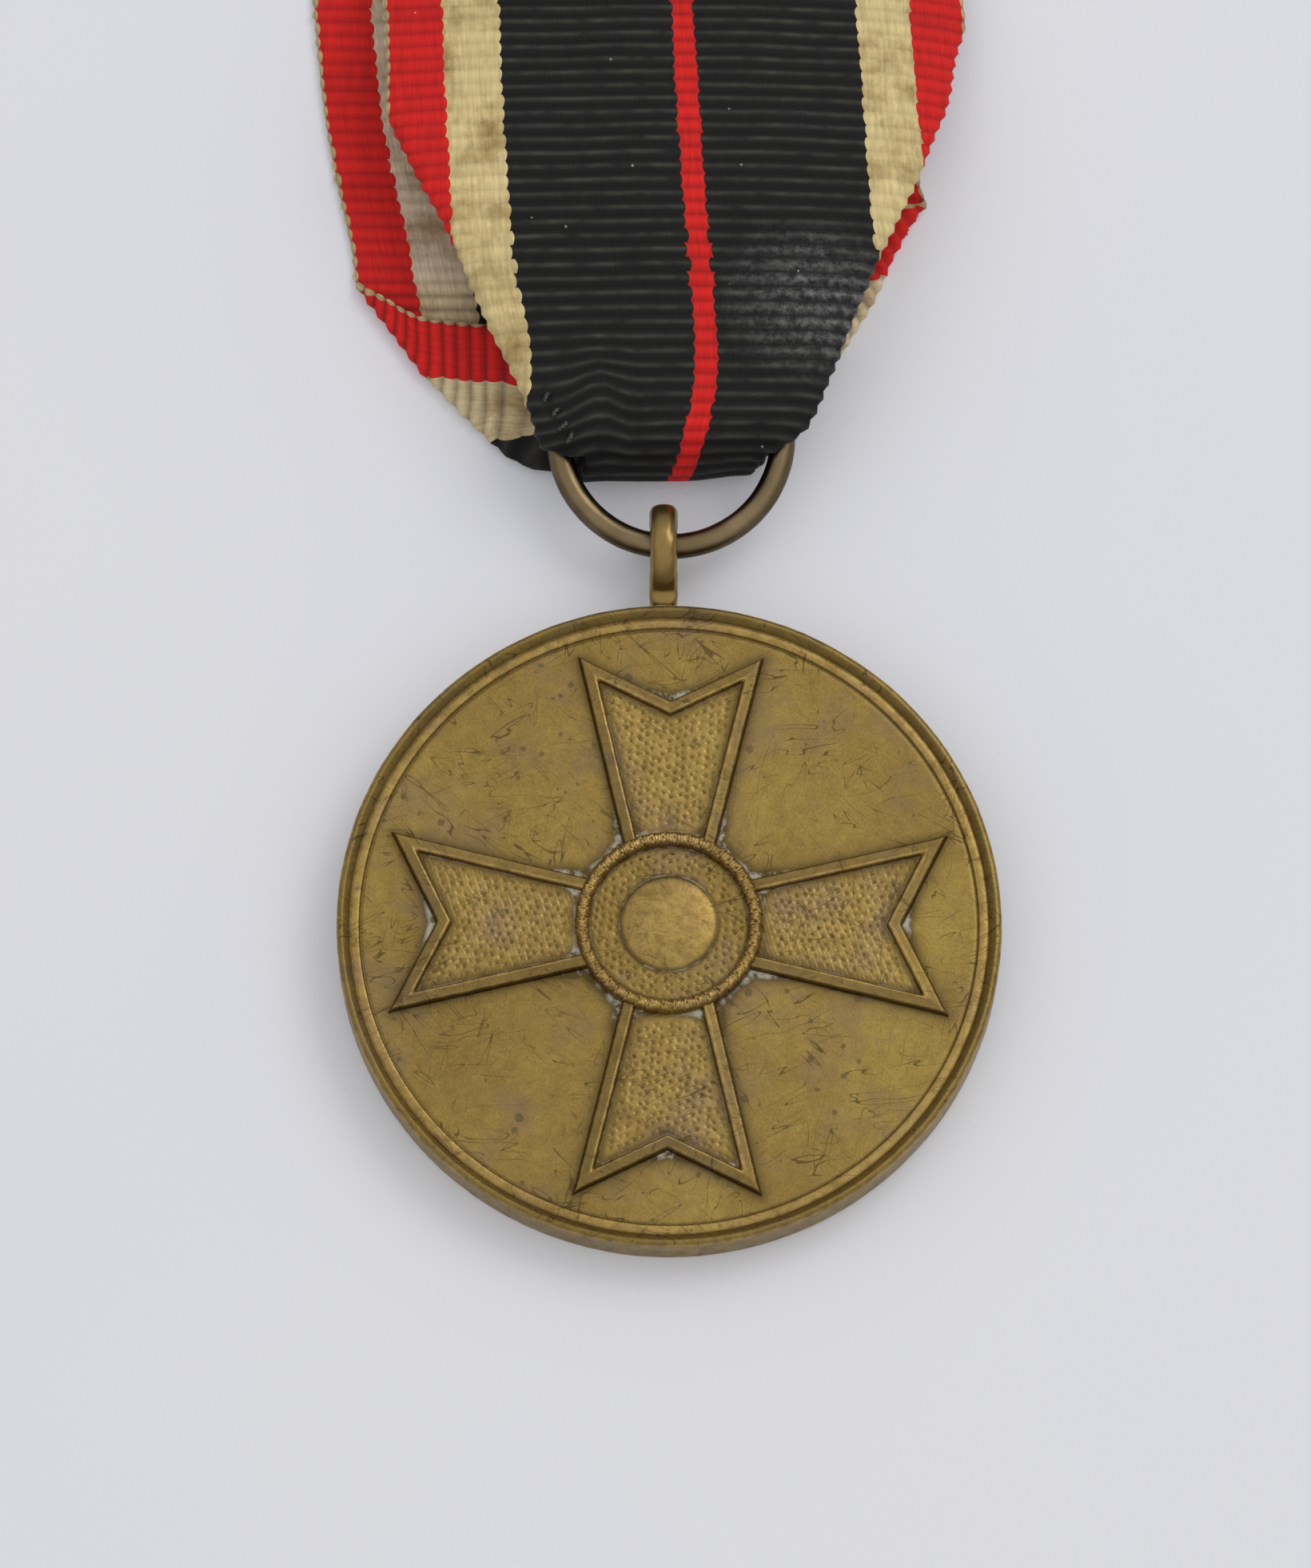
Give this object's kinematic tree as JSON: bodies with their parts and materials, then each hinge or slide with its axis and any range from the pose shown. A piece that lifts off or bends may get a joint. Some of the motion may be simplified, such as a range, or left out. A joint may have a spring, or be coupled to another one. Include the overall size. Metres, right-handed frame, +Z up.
{
  "type": "military service medal",
  "caption": "Round struck bronze medal with a notched cross, hung by a soldered loop and a wire ring from a striped ribbon folded through the ring.",
  "frame": {"origin": "centre of the disc's reverse field", "axes": "+Z up from the table with the obverse facing up, +Y from the disc towards the ribbon, +X to the right of the obverse"},
  "size_m": [0.0353, 0.1046, 0.0057],
  "materials": {
    "struck_bronze": "struck and toned tombac bronze, satin field, worn high points",
    "toned_wire": "drawn wire, dark brown-grey tone with bright rubbed lengths",
    "solder": "dull grey soft solder",
    "ribbon_cloth": "ribbed silk ribbon, black with red and cream stripes",
    "thread": "dark sewing thread"
  },
  "bodies": {
    "ribbon_tails": {"ribbon_front_tail": "ribbon_cloth", "ribbon_back_tail": "ribbon_cloth", "ribbon_front_bend": "ribbon_cloth", "ribbon_back_bend": "ribbon_cloth"},
    "ribbon_fold": {"ribbon_front_fold": "ribbon_cloth", "ribbon_back_fold": "ribbon_cloth", "ribbon_fold_nose": "ribbon_cloth", "tack_stitch_1": "thread", "tack_stitch_2": "thread", "tack_stitch_3": "thread", "tack_stitch_4": "thread"},
    "ring": {"wire_ring": "toned_wire"},
    "medal": {"medal_disc": "struck_bronze", "suspension_loop": "struck_bronze", "loop_solder": "solder"}
  },
  "joints": [
    {"name": "ribbon_flex", "type": "hinge", "parent": "ribbon_tails", "child": "ribbon_fold", "pos_m": [0, 0.045, 0.00172], "axis": [-1, 0, 0], "range_deg": [-60, 60], "deforming": ["ribbon_front_bend", "ribbon_back_bend"]},
    {"name": "ring_turn", "type": "hinge", "parent": "ribbon_fold", "child": "ring", "pos_m": [0.0001, 0.02488, 0.00207], "axis": [0, -0.1369, 0.9906], "range_deg": [-25, 25]},
    {"name": "medal_swing", "type": "hinge", "parent": "ring", "child": "medal", "pos_m": [-0.00026, 0.01945, 0.00132], "axis": [-1, 0, 0], "range_deg": [-120, 120]}
  ]
}
